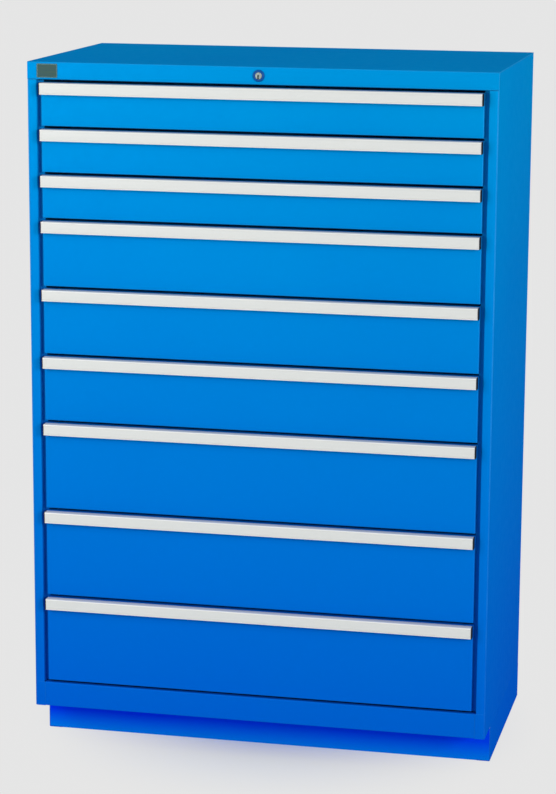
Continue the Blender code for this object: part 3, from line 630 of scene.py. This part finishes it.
addPiece(shellMesh("lockBarrel", [barrel], closeRows=True), "housing", "dark_lock", ["lock_cylinder"])


def keyRing(wider):
    # the keyhole's arch, made wider and higher by so much
    centre = (lockCentre[0], lockCentre[1] - lock["keyDrop"])
    return archRing(centre, lock["keyWidth"] + wider, lock["keyHeight"] + wider, lock["sides"])


plugLow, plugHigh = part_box("lock_plug")
plugRim = circle(lockCentre, lock["plugRadius"], lock["sides"])
plugRings, plugPlaces = zip(
    (keyRing(0), plugLow.y + lock["keyDepth"]),
    (keyRing(0), plugLow.y + lock["keyChamfer"]),
    (keyRing(lock["keyChamfer"]), plugLow.y),
    (circle(lockCentre, lock["plugRadius"] - lock["chamfer"], lock["sides"]), plugLow.y),
    (plugRim, plugLow.y + lock["chamfer"]),
    (plugRim, plugHigh.y),
)
addPiece(shellMesh("lockPlug", [alongY(plugRings, plugPlaces)]), "lock_rotor", "chrome", ["lock_plug"])
print("lock")


# Side panels: wall with its rear flange, and the front post, whose fold leaves a gap beside the fronts
sidePanel = {
    "post": 20.5 * mm,        # width of the post's front face
    "sheet": 1.5 * mm,
    "fold": 2.2 * mm,
    "insideFold": 0.75 * mm,
    "corner": 1.8 * mm,       # rounding of the front corner, up to where the wall starts
    "return": 18.0 * mm,      # how far the post is folded back beside the fronts
    "flange": 20.0 * mm,
    "play": 0.3 * mm,
}
panelLow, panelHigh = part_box("right_side_panel")
railHigh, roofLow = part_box("front_bottom_rail")[1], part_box("top_panel")[0]
postInside = panelHigh.x - sidePanel["post"]


def sidePanelGrids(side):
    # (x, y) outlines raised along z: the wall at full height, its foot in front of it up to the bottom
    # rail's top, and the post from there to the roof
    sheet, corner, play = sidePanel["sheet"], sidePanel["corner"], sidePanel["play"]
    inside, outside, front, back = postInside, panelHigh.x, panelLow.y, panelHigh.y
    flangeEnd, railEnd = outside - sidePanel["flange"], railHigh.x + play
    wall = roundedOutline([
        (outside, front + corner, 0), (outside, back, sidePanel["fold"]), (flangeEnd, back, 0),
        (flangeEnd, back - sheet, 0), (outside - sheet, back - sheet, sidePanel["insideFold"]),
        (outside - sheet, front + corner, 0),
    ])
    foot = roundedOutline([
        (railEnd, front, 0), (outside, front, corner), (outside - sheet, front + corner, 0),
        (outside - sheet, front + sheet, 0), (railEnd, front + sheet, 0),
    ])
    post = roundedOutline([
        (inside, front + sidePanel["return"], 0), (inside, front, sidePanel["fold"]),
        (outside, front, corner), (outside - sheet, front + corner, 0), (outside - sheet, front + sheet, 0),
        (inside + sheet, front + sheet, sidePanel["insideFold"]),
        (inside + sheet, front + sidePanel["return"], 0),
    ])
    return [alongZ(wall, [panelLow.z, panelHigh.z], side),
            alongZ(foot, [panelLow.z, railHigh.z + play], side),
            alongZ(post, [railHigh.z + play, roofLow.z - play], side)]


for name, side in (("left", -1), ("right", 1)):
    panel = shellMesh(name + "SidePanel", sidePanelGrids(side))
    addPiece(panel, "housing", "blue_enamel", [name + "_side_panel"])
print("side panels")


# Front cover of the base: a channel that stands on the floor between the flanges of the base's sides
cover = {
    "flange": 30.0 * mm,
    "foot": 0.2 * mm,         # above the floor
    "edge": 0.6 * mm,
    "insideEdge": 0.3 * mm,
    "sideFlange": 30.3 * mm,  # flange of the base's side with the gap beside it
}
coverLow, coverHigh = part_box("base_front_cover")
coverEnd, coverStep = coverHigh.x, panelHigh.x - cover["sideFlange"]


def coverSection(bottom):
    # (y, z) outline of the channel, open to the rear, from its lower flange up the front to its upper flange
    sheet, front, top = sidePanel["sheet"], coverLow.y, coverHigh.z
    rear = front + cover["flange"]
    return roundedOutline([
        (rear, bottom, 0), (front, bottom, cover["edge"]), (front, top, sidePanel["fold"]), (rear, top, 0),
        (rear, top - sheet, 0), (front + sheet, top - sheet, sidePanel["insideFold"]),
        (front + sheet, bottom + sheet, cover["insideEdge"]), (rear, bottom + sheet, 0),
    ])


coverSections, coverPlaces = zip(
    (coverSection(coverLow.z), -coverEnd), (coverSection(coverLow.z), -coverStep),
    (coverSection(cover["foot"]), -coverStep), (coverSection(cover["foot"]), coverStep),
    (coverSection(coverLow.z), coverStep), (coverSection(coverLow.z), coverEnd),
)
coverMesh = shellMesh("baseCover", [alongX(np.stack(coverSections), coverPlaces)])
# the cover takes the enamel with the painted shadow of the overhang
addPiece(coverMesh, "housing", "blue_enamel", ["base_front_cover"], finish="plinth_shaded_enamel")
print("base cover")


# Stop lips: an angle on each post, across the gap behind the side edges of the fronts
stop = {
    "face": 16.8 * mm,        # from the front plane of the housing to the lip, behind the fronts' returns
    "sheet": 1.2 * mm,
    "reach": 11.0 * mm,       # from the post's inner face towards the drawers
    "foot": 5.0 * mm,         # leg that lies on the post's fold
    "fold": 1.6 * mm,
    "edge": 0.3 * mm,
    "play": 0.3 * mm,
    "paintedLightRise": 4.0 * mm,         # above the top drawer's front
}


def stopGrid(side):
    # (x, y) outline of the angle raised along z, from the bottom rail to above the top drawer
    inner, front = postInside - stop["play"], panelLow.y + stop["face"]
    end = inner - stop["reach"]
    sheet, fold, edge = stop["sheet"], stop["fold"], stop["edge"]
    angle = roundedOutline([
        (end, front, edge), (inner - sheet, front, fold - sheet), (inner - sheet, front - stop["foot"], edge),
        (inner, front - stop["foot"], edge), (inner, front + sheet, fold), (end, front + sheet, edge),
    ])
    return alongZ(angle, [railHigh.z + stop["play"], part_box("drawer_1_handle")[1].z + stop["paintedLightRise"]], side)


stops = shellMesh("stopLips", [stopGrid(side) for side in (-1, 1)])
addPiece(stops, "housing", "blue_enamel")
print("stop lips")


# Blank plate at the left end of the fascia
plate = {
    "left": 21.5 * mm,        # from the cabinet's left edge
    "width": 46.0 * mm,
    "height": 30.0 * mm,
    "thickness": 1.2 * mm,
    "corner": 2.0 * mm,
    "insets": (0.0, 0.0, 0.15, 0.4, 1.2, 1.4),           # mm inwards, from the fascia over the rim
    "thicknessShares": (0.0, 0.7, 0.93, 1.0, 1.0, 0.6),  # how far it stands out there
    "gap": 0.1 * mm,          # between the fascia and the plate
}
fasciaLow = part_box("top_panel")[0]
plateMiddle = np.array([fasciaLow.x + plate["left"] + plate["width"] / 2, (lockLow.z + lockHigh.z) / 2])


def plateOutline(inset):
    # (x, z) rectangle with rounded corners, smaller by the inset on each side
    right, top, corner = plate["width"] / 2 - inset, plate["height"] / 2 - inset, plate["corner"]
    return plateMiddle + roundedOutline([
        (-right, -top, corner), (right, -top, corner), (right, top, corner), (-right, top, corner),
    ], 5)


plateGrid = alongY([plateOutline(inset * mm) for inset in plate["insets"]],
                   fasciaLow.y - plate["gap"] - plate["thickness"] * np.array(plate["thicknessShares"]))
addPiece(shellMesh("blankPlate", [plateGrid]), "housing", "blank_plate")
print("blank plate")


# Stage: pale floor that runs into the pale surroundings
stage = {
    "floorRadii": (0.0005, 1.0, 3.0, 8.0, 20.0, 60.0),
    "floorSides": 96,
    "floorColor": (0.92, 0.955, 0.89),
    "floorRoughness": 0.85,
    "pale": (0.787, 0.787, 0.787),
    "fadeTo": 0.62,           # from the origin to where the floor has taken the pale colour
    "ambient": 0.50,
}


def straightRays(material):
    # 1 for rays from the camera, from mirrors and through glass, and 0 for soft light
    path = addNode(material, "LightPath").outputs
    seen = combine(material, "MAXIMUM", path["Is Camera Ray"], path["Is Glossy Ray"])
    return combine(material, "MAXIMUM", seen, path["Is Transmission Ray"])


def floorMaterial():
    material = newMaterial("paleFloor", stage["floorColor"], stage["floorRoughness"])
    distance = addNode(material, "VectorMath", {0: objectPlace(material)}, operation="LENGTH")
    far = addNode(material, "MapRange", {"Value": distance.outputs["Value"], "From Max": stage["fadeTo"]},
                  interpolation_type="SMOOTHSTEP")
    share = combine(material, "MULTIPLY", far.outputs["Result"], straightRays(material))
    glow = addNode(material, "Emission", {"Color": (*stage["pale"], 1), "Strength": 1.0})
    mixed = addNode(material, "MixShader", {0: share})
    tree = material.node_tree
    tree.links.new(tree.nodes["Principled BSDF"].outputs[0], mixed.inputs[1])
    tree.links.new(glow.outputs[0], mixed.inputs[2])
    tree.links.new(mixed.outputs[0], tree.nodes["Material Output"].inputs["Surface"])
    return material


rings, sides = len(stage["floorRadii"]), stage["floorSides"]
floorGrid = np.zeros((rings, sides, 3))
floorGrid[..., :2] = np.array(stage["floorRadii"])[:, None, None] * circle((0, 0), 1.0, sides)
floorMesh = bpy.data.meshes.new("floor")
floorMesh.from_pydata(floorGrid.reshape(-1, 3).tolist(), [],
                      gridFaces(rings, sides).tolist() + [list(range(sides))])
floor = bpy.data.objects.new("floor", floorMesh)
floorMesh.materials.append(floorMaterial())
bpy.context.scene.collection.objects.link(floor)

world = bpy.data.worlds.new("paleRoom")
world.use_nodes = True
bpy.context.scene.world = world
surround = world.node_tree.nodes["Background"]
surround.inputs["Color"].default_value = (1, 1, 1, 1)
surround.inputs["Strength"].default_value = stage["ambient"]
seenRoom = addNode(world, "Background", {"Color": (*stage["pale"], 1), "Strength": 1.0})
roomMix = addNode(world, "MixShader", {0: straightRays(world)})
world.node_tree.links.new(surround.outputs[0], roomMix.inputs[1])
world.node_tree.links.new(seenRoom.outputs[0], roomMix.inputs[2])
world.node_tree.links.new(roomMix.outputs[0], world.node_tree.nodes["World Output"].inputs["Surface"])


def setUp(name, data, right, up, back, place):
    # a lamp or camera at the place, with its own axes along right, up and back
    thing = bpy.data.objects.new(name, data)
    matrix = np.eye(4)
    matrix[:3] = np.column_stack([right, up, back, place])
    thing.matrix_world = Matrix(matrix.tolist())
    bpy.context.scene.collection.objects.link(thing)
    return thing


# Lamps: places and sizes in metres, power in watts
lamps = {
    "frontLamp": {"place": (-1.5, -2.2, 1.65), "aim": (0.0, 0.0, 0.9), "size": 1.3, "power": 20.5},
    "sideLamp": {"place": (6.0, -5.6, 3.0), "aim": (0.0, 0.0, 0.8), "size": 2.2, "power": 322},
    "backLamp": {"place": (-3.4, 3.2, 2.4), "aim": (0.0, 0.1, 0.9), "size": 2.4, "power": 37},
}
for name, values in lamps.items():
    light = bpy.data.lights.new(name, "AREA")
    light.shape = "SQUARE"
    light.size = values["size"]
    light.energy = values["power"]
    back = np.array(values["place"]) - np.array(values["aim"])
    back = back / np.linalg.norm(back)
    across = np.cross([0, 0, 1], back)
    across = across / np.linalg.norm(across)
    setUp(name, light, across, np.cross(back, across), back, values["place"])
print("floor, surroundings and lamps")


# Camera as fitted to the photograph: place in metres, angles in degrees
view = {
    "place": (1.233, -5.649, 1.980),
    "turn": -12.46,           # to the left of straight ahead
    "tilt": 11.85,            # downwards
    "roll": 0.33,
    "lens": 117.9,
}
turn, tilt, roll = np.radians([view["turn"], view["tilt"], view["roll"]])
ahead = np.array([np.sin(turn) * np.cos(tilt), np.cos(turn) * np.cos(tilt), -np.sin(tilt)])
right = np.array([np.cos(turn), -np.sin(turn), 0.0])
up = np.cross(right, ahead)
cameraData = bpy.data.cameras.new("photoCamera")
cameraData.lens = view["lens"]
bpy.context.scene.camera = setUp("photoCamera", cameraData, right * np.cos(roll) + up * np.sin(roll),
                                 up * np.cos(roll) - right * np.sin(roll), -ahead, view["place"])
bpy.context.scene.view_settings.view_transform = "Standard"
print("camera")
